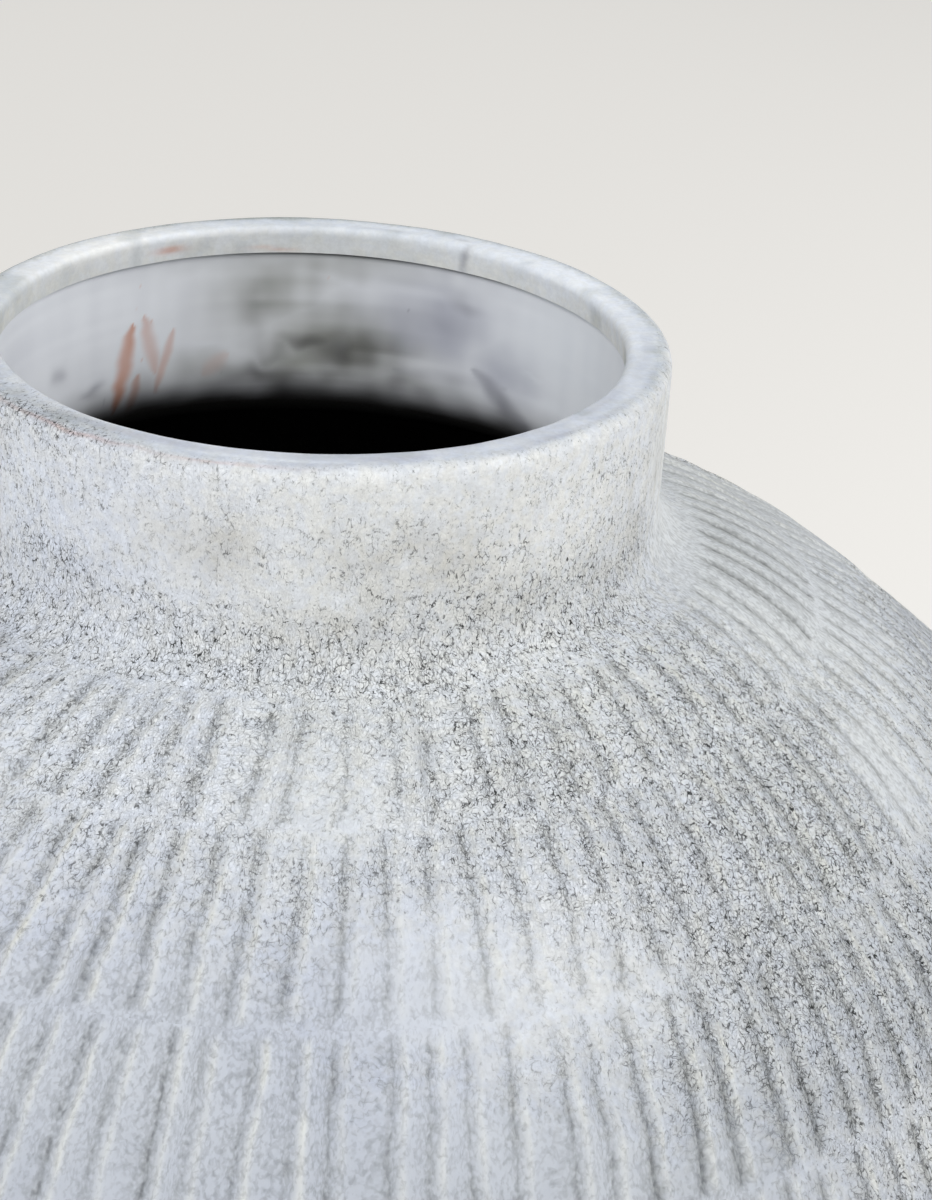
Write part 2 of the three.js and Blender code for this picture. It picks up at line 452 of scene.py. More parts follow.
def store(mesh, name, kind, field, values):
    """Stores values on a mesh's points, under a name that materials read."""
    layer = mesh.attributes.new(name, kind, "POINT")
    layer.data.foreach_set(field, values.astype(np.float32).ravel())


def make_piece(name, ring, lift, colour, marks, material, node):
    """A mesh piece of a ring that stands for a node, with the colour and marks that its material reads."""
    rows, columns = ring.angles.shape
    row, column = np.meshgrid(np.arange(rows), np.arange(columns), indexing="ij")
    above, beside = (row + 1) % rows, (column + 1) % columns
    corners = ((row, column), (row, beside), (above, beside), (above, column))
    faces = np.stack([level * columns + turn for level, turn in corners], axis=-1)
    mesh = bpy.data.meshes.new(name)
    mesh.from_pydata(ring.moved(lift).reshape(-1, 3), [], faces.reshape(-1, len(corners)))
    mesh.shade_smooth()
    mesh.set_sharp_from_angle(angle=SHARP_ANGLE)
    store(mesh, "wash", "FLOAT_COLOR", "color", np.insert(colour, 3, 1.0, axis=-1))
    store(mesh, "grain", "FLOAT_VECTOR", "vector", ring.grain)
    for mark in MARKS:
        values = np.broadcast_to(marks.get(mark, 0.0), (rows, columns))
        store(mesh, mark, "FLOAT", "value", np.clip(values, 0, 1))
    mesh.materials.append(material)

    piece = new_object(name, mesh)
    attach(piece, "root")
    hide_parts(node)


def hand_made(ring):
    """How far the potter's hands left each place proud of its true shape."""
    return sum(ring.noise(width, seed) * height * MM for width, height, seed in UNEVENNESS)


class Wear:
    """What time has done to an outside surface: where it is crackled, veiled or worn; and its colours,
    painted shade among them.
    """

    STRAY = 2.5  # how far the edges of patches stray, in degrees and in mm

    def __init__(self, ring):
        self.drift = ring.noise(48, seed=51)
        self.ragged = ring.noise(14, seed=67)
        self.cloud = ring.noise(9, seed=73)
        self.azimuth = ring.azimuth + self.STRAY * self.ragged
        self.depth = ring.depth + self.STRAY * ring.noise(12, seed=71)
        self.crackled = self.cover(CRACKLED_PATCHES)
        self.veil = ease(0.2, 0.8, self.cover(VEILED_PATCHES))
        self.worn = self.cover(WORN_PATCHES)

    def cover(self, patches):
        """How strongly these patches cover each place, with straying edges."""
        return cover(patches, self.azimuth, self.depth)

    def coats(self, ring):
        """The colours of the outside, from the cream wash up to the dirt on it, with painted shade lower
        down the wall.
        """
        near_neck = 1 - ease(*PALE_ENDS, ring.depth)
        # Painted shade: the wall greys below the shoulder and pales again towards its foot.
        low_shade = 0.66 * ease(*LOW_SHADE_STARTS, ring.depth)
        low_shade = low_shade * (1 - 0.6 * ease(*LOW_SHADE_ENDS, ring.depth))
        coats = Coats(ring, CREAM_WASH)
        coats.add(PALE_WASH, 0.6 * near_neck)
        coats.add(COOL_WASH, self.cover(COOL_PATCHES) + 0.2 * self.drift)
        coats.add(LOW_SHADE_GREY, low_shade + 0.1 * self.drift + 0.06 * self.cloud)
        coats.add(WARM_STAIN, self.cover(WARM_PATCHES) * (0.7 + 0.5 * self.cloud))
        for colour, patches in WASH_COATS:
            coats.add(colour, self.cover(patches))
        coats.add(GREY_DIRT_AND_SHADE, 0.22 * self.crackled + 0.14 * self.veil)
        return coats


def stroke_columns(seed, count, down, late):
    """One band's strokes: its columns' even and true angles, and shares of depth, burr, soil with painted
    shade, and cream with painted highlight.

    down runs from 0 at the band's head to 1 at its foot, and late is how slowly the strokes start.
    """
    draw = np.random.default_rng(seed)
    place, *shares = np.array(STROKE_SECTION).T
    depth_share, burr_share, soil_and_shade_share, cream_and_highlight_share = np.tile(shares, count)
    jitter = draw.uniform(-0.18, 0.18, count)
    lean = draw.normal(-0.36, 0.08, count)
    lean -= cover(LEANING_PATCHES, np.arange(count) * (360 / count), 0.0)
    depth = draw.uniform(0.35, 1.25, count)
    start = draw.uniform(0.0, 0.03, count)
    end = draw.uniform(0.965, 1.0, count)
    burr = draw.uniform(0.3, 1.2, count)
    onto_next = ease(0.45, 1.0, place)
    apart = 9.7  # cells of noise from one stroke to the next

    def by_column(values):
        """Each stroke's own value, easing over to the next stroke's on the land between them."""
        following = np.roll(values, -1, axis=-1)
        eased = values[..., None] * (1 - onto_next) + following[..., None] * onto_next
        return eased.reshape(*values.shape[:-1], -1)

    def on_the_way(steps, salt):
        """Noise along each stroke that changes about this many times on its way."""
        ways = np.stack(np.broadcast_arrays(down * steps, apart * np.arange(count), salt), axis=-1)
        return by_column(lattice_noise(ways, 1.0, seed))

    turns = (np.arange(count)[:, None] + place).ravel()
    wander = 0.05 * on_the_way(5, salt=1) + 0.025 * on_the_way(14, salt=2)
    angles = (turns + by_column(jitter) + by_column(lean) * (down - 0.5) + wander) * (2 * math.pi / count)
    head, foot = by_column(start), by_column(end)
    reach = ease(head, head + STROKE_EASE + late, down) * (1 - ease(foot - STROKE_EASE, foot, down))
    pressure = 1 + 0.35 * on_the_way(7, salt=3)
    depth, burr = by_column(depth), by_column(burr)
    cut = depth_share * depth * pressure * reach * (0.65 + 0.35 * down)
    burred = burr_share * burr * (1 + 0.6 * on_the_way(10, salt=4)) * np.sqrt(reach)
    soiled_and_shaded = soil_and_shade_share * np.sqrt(depth * reach) * (0.9 + 0.45 * on_the_way(11, salt=5))
    creamy_and_lit = cream_and_highlight_share * np.sqrt(burr * reach) * (0.8 + 0.5 * on_the_way(9, salt=6))
    return turns * (2 * math.pi / count), angles, cut, burred, soiled_and_shaded, creamy_and_lit


def band_ring(low, high):
    """A band between two fractions of the wall's length, and how far down it each of its rows lies."""
    shares = np.linspace(0, 1, BAND_ROWS)
    outside, up, outward = WALL_CURVE.at(low + (high - low) * shares)
    outside = outside + outward * (BAND_BULGE * np.sin(math.pi * shares))[:, None]
    inner_shares = np.linspace(1, 0, BAND_INNER_ROWS)
    inside, _, inner_outward = WALL_CURVE.at(low + (high - low) * inner_shares)
    inside = inside - inner_outward * WALL
    foot_ridge = up[0] * JOINT_RIDGE
    if low == 0:
        # The lowest band stands flat on the slab.
        slope = inside[-2] - inside[-1]
        inside[-1] += slope * (SLAB_TOP - inside[-1][1]) / slope[1]
        foot_ridge = 0

    ring = Ring()
    ring.add("outside", outside, outward)
    sunk = outside[-1] - outward[-1] * UNDERLAP_SINK
    tucked = outside[-1] - outward[-1] * UNDERLAP_DROP + up[-1] * UNDERLAP_REACH
    ring.add("underlap", [sunk, tucked], [outward[-1]] * 2)
    ring.add("joint", (outside[-1] + inside[0]) / 2 + up[-1] * JOINT_RIDGE)
    ring.add("inside", inside)
    ring.add("joint", (outside[0] + inside[-1]) / 2 + foot_ridge)
    down = 1 - np.concatenate([shares, [1, 1, 1], inner_shares, [0]])[:, None]
    return ring, down


def wall_band(index, material):
    """One fluted band of the wall, counted from the base."""
    name = BAND_NAMES[index]
    low = index / len(BAND_NAMES)
    high = min((index + 1) / len(BAND_NAMES), COLLAR_START)
    ring, down = band_ring(low, high)
    girth = 2 * math.pi * ring.points[0][BAND_ROWS // 2][0]
    late = NECK_EASE if high == COLLAR_START else 0.0
    strokes = stroke_columns(STROKE_SEED + index, round(girth / STROKE_PITCH), down, late)
    turns, angles, depth, burr, soil_and_shade, cream_and_highlight = strokes
    ring.close(angles, turns)

    face = ring.rows("outside")
    wear = Wear(ring)
    deep = 1 + cover(DEEP_PATCHES, ring.azimuth, ring.depth)
    plain = np.maximum(wear.worn, cover(PLAIN_PATCHES, ring.azimuth, ring.depth))
    depth = depth * face * (1 - wear.worn) * deep
    burr = burr * face * (1 - plain)
    # Where the tool cut deeper, the groove gets more soil and painted shade.
    soil_and_shade = np.minimum(soil_and_shade * deep + 0.45 * (deep - 1) * depth, 1) * face
    soil_and_shade = soil_and_shade * (1 - 0.5 * wear.worn) * (1 - 0.25 * wear.veil)
    lift = hand_made(ring) - depth * STROKE_DEPTH + burr * BURR_HEIGHT

    coats = wear.coats(ring)
    # Soil in the grooves: partly dirt, partly painted shade on their steep sides.
    coats.add(GREY_DIRT_AND_SHADE, soil_and_shade * (0.36 + 0.2 * wear.cloud))
    # Painted shade that darkens the deeper grooves.
    coats.add(GROOVE_SHADE, soil_and_shade * 0.32 * (deep - 1))
    # Cream on the burrs: partly pale wash, partly a painted highlight on their lit side.
    coats.add(PALE_BURR_AND_HIGHLIGHT, cream_and_highlight * face * (1 - plain) * 0.75)
    # The band's inside and joints are near black.
    coats.add(DARK_INSIDE, ring.rows("inside", "joint"))
    marks = {
        "crackle": 0.34 + 0.08 * wear.drift + 1.1 * wear.crackled - 0.15 * wear.worn,
        "soil_and_shade": soil_and_shade,
        "veil": wear.veil,
        "speck": 0.2 + 0.3 * wear.crackled,
        "grit": 0.9 - 0.8 * wear.veil,
    }
    make_piece(name + "_fluted", ring, lift, coats.colour, marks, material, name)


def even_angles(columns):
    return np.linspace(0, 2 * math.pi, columns, endpoint=False)


def neck_ring():
    """The neck's section: a filleted foot and a plain outside, then the bore down to its rounded lip."""
    joint, up, outward = WALL_CURVE.at(COLLAR_START)
    inner_joint = joint - outward * WALL
    fillet_top = (NECK_RADIUS, NECK_FOOT + NECK_FILLET)
    outside = np.concatenate([
        bezier(joint, (NECK_RADIUS, NECK_FOOT), fillet_top, 14),
        np.linspace(fillet_top, (NECK_RADIUS, NECK_TOP), 26)[1:],
    ])
    groove_width, groove_turn, groove_depth = 1.2 * MM, 0.5 * MM, 2.5 * MM
    bore_top = (BORE_RADIUS, NECK_TOP - groove_depth)
    lip = inner_joint + up * ((BORE_RADIUS - inner_joint[0]) / up[0])
    bore_foot = (BORE_RADIUS, lip[1] + NECK_FILLET)
    bore = np.concatenate([
        bezier((BORE_RADIUS + groove_width, NECK_TOP), (BORE_RADIUS, NECK_TOP - groove_turn), bore_top, 5),
        np.linspace(bore_top, bore_foot, 40)[1:],
        bezier(bore_foot, lip, inner_joint, 10)[1:],
    ])
    ring = Ring()
    ring.add("outside", outside, outward_of(outside))
    ring.add("bore", bore, outward_of(bore))
    ring.add("joint", (joint + inner_joint) / 2 + up * JOINT_RIDGE)
    ring.close(even_angles(NECK_COLUMNS))
    return ring


def paint_bore(coats, ring, cloud):
    """The brushed washes inside the neck, down to the dark inside of the pot."""
    bored = ring.rows("bore")
    brushed = ring.streaks(34, 2.6, seed=101)
    dragged = ring.streaks(5, 16, seed=103)
    azimuth = ring.azimuth + 1.2 * ring.noise(6, seed=91) + brushed
    depth = ring.depth + 1.6 * ring.noise(5, seed=93)
    coats.add(BORE_WASH, bored)
    for colour, patches in BORE_COATS:
        share = cover(patches, azimuth, depth) * (1 + 0.25 * brushed + 0.2 * dragged)
        coats.add(colour, share * bored)
    coats.add(LILAC_GREY, (0.04 + 0.05 * brushed + 0.06 * dragged) * bored)
    for colour, strokes in BORE_STROKES:
        share = brush_strength(strokes, ring.azimuth + 0.5 * brushed, ring.depth, BORE_RADIUS)
        coats.add(colour, share * (1 + 0.3 * dragged) * bored)
    # Painted shadow: a thin dark line under the rim's lip, darkest at the back.
    line_depth = (RIM_TOP - NECK_TOP) / MM + LIP_LINE_DROP
    lip_shadow_line = np.exp(-((line_depth - ring.depth) / LIP_LINE_WIDTH) ** 2)
    coats.add(LIP_SHADOW, lip_shadow_line * cover(LIP_LINE, ring.azimuth, 0.0) * bored)
    # Darker down the bore, to near black inside the pot.
    coats.add(DARK_INSIDE, ease(*DARK_STARTS, ring.depth + 2.0 * cloud) * bored)


def neck(material):
    """The neck collar: washed and speckled outside, more crackled towards its foot, and painted inside."""
    ring = neck_ring()
    outer, bored = ring.rows("outside"), ring.rows("bore")
    wear = Wear(ring)
    aside = np.abs(degrees_from(0, ring.azimuth))
    rough = ease(24, 56, aside + 6 * wear.ragged)
    upper = 1 - ease(30, 44, ring.depth)
    runs = ease(48, 68, aside) * upper * ease(0.0, 0.8, ring.streaks(2.2, 18, seed=97))
    coats = wear.coats(ring)
    coats.add(WARM_STAIN, runs * 0.25)
    paint_bore(coats, ring, wear.cloud)
    coats.add(DARK_INSIDE, ring.rows("joint"))

    foot = ease(24, 60, ring.depth + 5 * wear.ragged + 4 * wear.cloud)
    stained = wear.cover(WARM_PATCHES)
    crackle = 0.2 + 0.05 * wear.cloud + 0.05 * rough + 0.12 * stained
    marks = {
        "crackle": (crackle + (0.24 + 1.1 * wear.crackled) * foot) * outer,
        "veil": wear.veil * outer,
        "speck": (0.58 + 0.25 * wear.cloud + 0.1 * foot + 0.4 * stained) * outer,
        "grit": (0.6 + 0.3 * foot) * (1 - 0.85 * wear.veil) * outer,
    }
    lift = hand_made(ring) * (outer + 0.4 * bored)
    make_piece("neck", ring, lift, coats.colour, marks, material, "neck_collar")


def rim(material):
    """The flat-topped ring on the mouth, with soft edges and a face that draws back under its inner lip."""
    outer_round, inner_round, draw_back = 4.5 * MM, 2.5 * MM, 0.5 * MM
    inner_radius = NECK_RADIUS - RIM_WIDTH
    side_top = (NECK_RADIUS, RIM_TOP - outer_round)
    flat_start = (NECK_RADIUS - outer_round, RIM_TOP)
    flat_end = (inner_radius + inner_round, RIM_TOP)
    face_top = (inner_radius, RIM_TOP - inner_round)
    path = np.concatenate([
        np.linspace((NECK_RADIUS, NECK_TOP), side_top, 5)[:-1],
        bezier(side_top, (NECK_RADIUS, RIM_TOP), flat_start, 12),
        np.linspace(flat_start, flat_end, 6)[1:-1],
        bezier(flat_end, (inner_radius, RIM_TOP), face_top, 10),
        np.linspace(face_top, (inner_radius + draw_back, NECK_TOP), 7)[1:],
    ])
    ring = Ring()
    ring.add("outside", path, outward_of(path))
    ring.close(even_angles(NECK_COLUMNS))

    wear = Wear(ring)
    top = ease(7, 12, ring.along + 1.5 * wear.cloud)
    brushed = ring.streaks(26, 1.8, seed=107)
    blots = ring.noise(8, seed=109)
    azimuth = ring.azimuth + 1.5 * wear.ragged
    along = ring.along + 0.8 * wear.cloud
    coats = wear.coats(ring)
    coats.add(RIM_WASH, top)
    coats.add(LILAC_GREY, top * np.clip(0.6 * brushed, 0, 0.5))
    coats.add(LILAC_WHITE, top * np.clip(-0.1 - 0.5 * brushed, 0, 0.3))
    for colour, patches in RIM_COATS:
        coats.add(colour, cover(patches, azimuth, along) * (1 + 0.3 * brushed))
    coats.add(EDGE_GREEN, top * ease(0.1, 0.8, blots) * 0.32)
    coats.add(LILAC_WHITE, top * ease(0.1, 0.8, -blots) * 0.25)

    outer = 1 - ease(9, 14, ring.along + 2 * wear.cloud)
    scuffed = cover(SCUFFED_EDGE, ring.azimuth, ring.along)
    marks = {
        "crackle": (0.18 + 0.05 * wear.cloud) * outer + 0.4 * scuffed,
        "speck": (0.36 + 0.25 * wear.cloud) * outer + 0.5 * scuffed,
        "grit": 0.25 + 0.35 * outer + 0.5 * scuffed,
    }
    lift = hand_made(ring)
    make_piece("rim", ring, lift, coats.colour, marks, material, "rim_ring")


def rounded_outline(corners, rounding):
    """A closed outline with its corners rounded off, in rows no further apart than BASE_STEP."""
    corners = np.asarray(corners)
    curves = []
    for before, corner, after in zip(np.roll(corners, 1, axis=0), corners, np.roll(corners, -1, axis=0)):
        start, end = (
            corner + (other - corner) * rounding / math.dist(other, corner) for other in (before, after)
        )
        curves.append(bezier(start, corner, end, 5))
    path = np.concatenate(curves)
    rows = []
    for start, end in zip(path, np.roll(path, -1, axis=0)):
        count = math.ceil(math.dist(start, end) / BASE_STEP)
        rows.append(np.linspace(start, end, count + 1)[:-1])
    return np.concatenate(rows)


class BaseRing:
    """A ring of the pot's base: rounded corners, and noise for its wear."""

    def __init__(self, corners, rounding):
        self.ring = Ring()
        path = rounded_outline(corners, rounding)
        self.ring.add("side", path, outward_of(path, closed=True))
        self.ring.close(even_angles(BASE_COLUMNS))
        self.radius, self.height = np.moveaxis(self.ring.section, -1, 0)
        self.ragged = self.ring.noise(13, seed=121)
        self.cloud = self.ring.noise(5, seed=123)
        # Wear only takes clay away, so that the rings never press into one another.
        self.lift = -0.14 * MM * (2 + self.ragged + self.cloud)


def foot_piece(material):
    """The turned ring that the pot stands on: thinly washed outside, chipped along its lower edge."""
    inside = FOOT_RADIUS - FOOT_WIDTH
    corners = [(inside, 0), (FOOT_RADIUS, 0), (FOOT_RADIUS, SLAB_FOOT), (inside, SLAB_FOOT)]
    foot = BaseRing(corners, rounding=1.6 * MM)
    low = 1 - ease(0.5 * MM, 3 * MM, foot.height)
    chips = ease(0.35, 0.75, foot.ring.noise(8, seed=127))
    foot.lift -= 0.9 * MM * low * chips
    coats = Coats(foot.ring, BARE_CLAY)
    outside = ease(FOOT_RADIUS - 3 * MM, FOOT_RADIUS - 0.5 * MM, foot.radius)
    coats.add(CREAM_WASH, outside * (0.55 + 0.5 * foot.ragged))
    coats.add(CLAY_DUST, low * (0.45 + 0.4 * foot.cloud))
    coats.add(OLIVE_DIRT, ease(0.3, 0.8, foot.ragged - foot.cloud) * 0.35)
    make_piece("foot", foot.ring, foot.lift, coats.colour, {}, material, "foot_ring")


def slab_piece(material):
    """The pot's floor with its drain hole: washed on its edge, turned underneath, near black on top."""
    corners = [
        (DRAIN_RADIUS, SLAB_FOOT), (FOOT_RADIUS + FOOT_INSET, SLAB_FOOT),
        (WALL_FOOT_RADIUS, SLAB_TOP), (DRAIN_RADIUS, SLAB_TOP),
    ]
    slab = BaseRing(corners, rounding=1.8 * MM)
    under = 1 - ease(SLAB_FOOT + 0.5 * MM, SLAB_FOOT + 2 * MM, slab.height)
    turning = np.sin(2 * math.pi * slab.radius / TURNING_PITCH + 2 * slab.ragged)
    slab.lift -= 0.1 * MM * under * (1 + turning)
    coats = Coats(slab.ring, BARE_CLAY)
    coats.add(CLAY_DUST, under * (0.3 + 0.3 * slab.ragged + 0.12 * turning))
    edge = ease(FOOT_RADIUS, FOOT_RADIUS + FOOT_INSET, slab.radius)
    coats.add(CREAM_WASH, edge * ease(7, 12, slab.height / MM + 3 * slab.ragged) * 0.9)
    drained = np.exp(-((slab.radius - DRAIN_RADIUS) / (7 * MM)) ** 2)
    coats.add(OLIVE_DIRT, drained * (0.6 + 0.4 * slab.cloud))
    inner = 1 - ease(WALL_FOOT_RADIUS - 6 * MM, WALL_FOOT_RADIUS - 3 * MM, slab.radius)
    coats.add(DARK_INSIDE, inner * ease(SLAB_TOP - 2 * MM, SLAB_TOP - 0.5 * MM, slab.height))
    make_piece("base", slab.ring, slab.lift, coats.colour, {}, material, "base_slab")


def seam_coil_piece(material):
    """The coil of soft clay in the corner between slab and wall, dented by the fingers that pressed it."""
    _, (reach, _, top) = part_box("base_seam_coil")
    corner = reach - SEAM_COIL_LEG * math.cos(FOOT_SLOPE)
    corners = [(corner - SEAM_COIL_LEG, SLAB_TOP), (corner, SLAB_TOP), (reach, top)]
    coil = BaseRing(corners, rounding=0.8 * MM)
    presses = np.cos(FINGER_DENTS * coil.ring.angles + 1.5 * coil.ragged)
    free = ease(SLAB_TOP + 0.5 * MM, SLAB_TOP + 3 * MM, coil.height)
    coil.lift -= 0.6 * MM * free * (1 + presses)
    coats = Coats(coil.ring, DARK_CLAY)
    coats.add(DARK_INSIDE, 0.5 + 0.4 * coil.cloud)
    make_piece("seam_coil", coil.ring, coil.lift, coats.colour, {}, material, "base_seam_coil")


# Grains of the materials, and how much the crackle is drawn out along the strokes.
LARGE_PLATE = 2.4 * MM
SMALL_PLATE = 1.15 * MM
GRIT_SPACING = 1.05 * MM
GROG_SPACING = 2.2 * MM
GRAIN_STRETCH = (1.3, 1.3, 0.85)
WARM_TINT = (1.01, 1.0, 0.98, 1)
COOL_TINT = (0.98, 0.99, 1.02, 1)
MATT_SPECULAR = 0.25


class Nodes:
    """The node tree of a material or world, with short calls for the kinds of node used here."""

    def __init__(self, owner):
        owner.use_nodes = True
        self.tree = owner.node_tree
        self.tree.nodes.clear()

    @cached_property
    def place(self):
        """Where a point is, in the pot's own frame."""
        return self.add("TexCoord").outputs["Object"]

    def add(self, kind, inputs=(), **settings):
        """A node with these settings, its inputs linked to sockets or set to plain values."""
        node = self.tree.nodes.new("ShaderNode" + kind)
        for key, value in settings.items():
            setattr(node, key, value)
        for key, value in dict(inputs).items():
            if isinstance(value, bpy.types.NodeSocket):
                self.tree.links.new(value, node.inputs[key])
            else:
                node.inputs[key].default_value = value
        return node

    def stored(self, name, output="Fac"):
        """What a piece's points carry under this name."""
        return self.add("Attribute", attribute_name=name).outputs[output]

    def math(self, operation, *values):
        return self.add("Math", enumerate(values), operation=operation).outputs[0]

    def times(self, first, second):
        return self.math("MULTIPLY", first, second)

    def times_plus(self, first, second, third):
        return self.math("MULTIPLY_ADD", first, second, third)

    def ramp(self, value, low, high, start=0.0, end=1.0):
        """Eases from start to end as value goes from low to high."""
        inputs = {"Value": value, "From Min": low, "From Max": high, "To Min": start, "To Max": end}
        return self.add("MapRange", inputs, interpolation_type="SMOOTHSTEP").outputs[0]

    def between(self, share, first, second):
        """From the first number to the second as share goes from 0 to 1."""
        return self.add("Mix", {0: share, 2: first, 3: second}, data_type="FLOAT").outputs[0]

    def noise(self, size, detail=2.0, place=None):
        """Noise about 0.5 whose features are about this size."""
        inputs = {"Vector": place or self.place, "Scale": 1 / size, "Detail": detail}
        return self.add("TexNoise", inputs).outputs["Fac"]

    def warped(self, size, reach, place=None):
        """The place, pushed about by noise of this size, up to about this far."""
        place = place or self.place
        inputs = {"Vector": place, "Scale": 1 / size, "Detail": 1.0}
        push = self.add("TexNoise", inputs).outputs["Color"]
        centred = self.vector("SUBTRACT", push, (0.5, 0.5, 0.5))
        return self.vector("ADD", place, self.scaled(centred, 4 * reach))

    def vector(self, operation, *values):
        return self.add("VectorMath", enumerate(values), operation=operation).outputs[0]

    def scaled(self, vector, factor):
        return self.add("VectorMath", {0: vector, "Scale": factor}, operation="SCALE").outputs[0]

    def cells(self, size, place, feature="F1"):
        """Cells of about this size: the distance to the nearest centre or edge, as a share of it."""
        inputs = {"Vector": place, "Scale": 1 / size}
        return self.add("TexVoronoi", inputs, feature=feature).outputs

    def blend(self, share, first, second):
        """From the first colour to the second as share goes from 0 to 1."""
        return self.add("Mix", {0: share, 6: first, 7: second}, data_type="RGBA").outputs[2]

    def finish(self, colour, roughness, height, bump_reach, bump_strength):
        """A matt surface of this colour, with its roughness and bump."""
        inputs = {"Height": height, "Distance": bump_reach, "Strength": bump_strength}
        bump = self.add("Bump", inputs).outputs[0]
        shader = self.add("BsdfPrincipled", {
            "Base Color": colour, "Roughness": roughness,
            "Normal": bump, "Specular IOR Level": MATT_SPECULAR,
        })
        self.add("OutputMaterial", {"Surface": shader.outputs[0]})

    def staged(self, lighting, shown):
        """A shader that lights the pot one way, and is shown another way where the stage itself is seen."""
        path = self.add("LightPath").outputs
        seen = self.math("MAXIMUM", path["Is Camera Ray"], path["Is Glossy Ray"])
        seen = self.math("MAXIMUM", seen, path["Is Transmission Ray"])
        return self.add("MixShader", {0: seen, 1: lighting, 2: shown}).outputs[0]


def opaque(colour):
    """A colour with nothing showing through it, as node sockets take it."""
    return (*colour.tolist(), 1.0)


def hairlines(paint, mark, grain, tone):
    """How dark the hairlines are along the edges of warped cells, and how plates between them stand up."""
    curly = paint.warped(0.9 * MM, 0.28 * MM, paint.warped(3.6 * MM, 0.9 * MM, grain))
    density = paint.times_plus(mark["soil_and_shade"], 1.1, mark["crackle"])
    gathered = paint.times_plus(density, 0.5, paint.times(paint.noise(7 * MM), 0.4))
    ragged = paint.times_plus(paint.noise(0.9 * MM, 1), -0.1, 0.05)
    large = paint.math("ADD", paint.cells(LARGE_PLATE, curly, "DISTANCE_TO_EDGE")["Distance"], ragged)
    small = paint.times_plus(ragged, 2, paint.cells(SMALL_PLATE, curly, "DISTANCE_TO_EDGE")["Distance"])
    large_shown = paint.ramp(paint.math("ADD", paint.noise(2.0 * MM, 1, grain), gathered), 0.83, 0.9)
    small_shown = paint.ramp(paint.math("ADD", paint.noise(1.1 * MM, 1, grain), gathered), 0.935, 1.05)
    large_lines = paint.times(paint.ramp(large, 0.024, 0.06, 1.0, 0.0), large_shown)
    small_lines = paint.times(paint.ramp(small, 0.03, 0.1, 0.8, 0.0), small_shown)
    sharp = paint.times(paint.math("MAXIMUM", large_lines, small_lines), tone)
    haze = paint.times_plus(density, 0.08, paint.noise(1.4 * MM, 1, grain))
    haze = paint.ramp(haze, 0.5, 0.74, 0.0, 0.16)
    soft = paint.times_plus(paint.ramp(large, 0.0, 0.28, 0.18, 0.0), large_shown, haze)
    cracks = paint.between(mark["veil"], sharp, soft)
    cracks = paint.times(cracks, paint.ramp(mark["crackle"], 0.02, 0.38))

    # Each plate curls up a little at its edge.
    plates = paint.math("SUBTRACT", paint.ramp(small, 0.0, 0.1), paint.ramp(small, 0.1, 0.4, 0.0, 0.45))
    plates = paint.times(plates, paint.ramp(mark["crackle"], 0.0, 0.25))
    return cracks, plates


def caught_soil_and_shade(paint, mark, grain):
    """How dark the soil and painted shade are on each stroke's steep side, in broken bits."""
    bits = paint.ramp(paint.noise(1.2 * MM, 2, grain), 0.46, 0.6)
    veiled_bits = paint.ramp(paint.noise(1.8 * MM, 1, grain), 0.36, 0.66)
    bits = paint.between(mark["veil"], bits, veiled_bits)
    return paint.times(mark["soil_and_shade"], paint.times(bits, paint.between(mark["veil"], 0.32, 0.54)))


def grit_specks(paint, mark):
    """How dark the specks are that grit left: one to a cell, shown in as many cells as the mark says."""
    cells = paint.cells(GRIT_SPACING, paint.warped(0.7 * MM, 0.3 * MM))
    chance = paint.add("SeparateColor", {"Color": cells["Color"]}).outputs
    picked = paint.ramp(paint.math("SUBTRACT", mark["speck"], chance["Red"]), 0.0, 0.12)
    specks = paint.times(paint.ramp(cells["Distance"], 0.1, 0.38, 1.0, 0.0), picked)
    specks = paint.times(specks, paint.times_plus(chance["Green"], 0.42, 0.08))
    return paint.times(specks, paint.between(mark["veil"], 1.0, 0.0))


def mottled_wash(paint, mark, tone, crumb):
    """The colour of the coats, a little uneven in light and tint where the wash is gritty."""
    textured = paint.ramp(mark["grit"], 0.0, 0.4)
    crumbs = paint.between(mark["grit"], 1.0, paint.ramp(crumb, 0.3, 0.68, 0.92, 1.04))
    mottle = paint.ramp(paint.noise(4.5 * MM, 3), 0.3, 0.7, 0.95, 1.03)
    blots = paint.times(mottle, paint.ramp(tone, 0.45, 1.0, 1.03, 0.965))
    light = paint.times(paint.between(textured, 1.0, blots), crumbs)
    tint = paint.blend(paint.ramp(paint.noise(3.8 * MM), 0.36, 0.64), WARM_TINT, COOL_TINT)
    tint = paint.blend(textured, (1, 1, 1, 1), tint)
    return paint.scaled(paint.vector("MULTIPLY", paint.stored("wash", "Color"), tint), light)


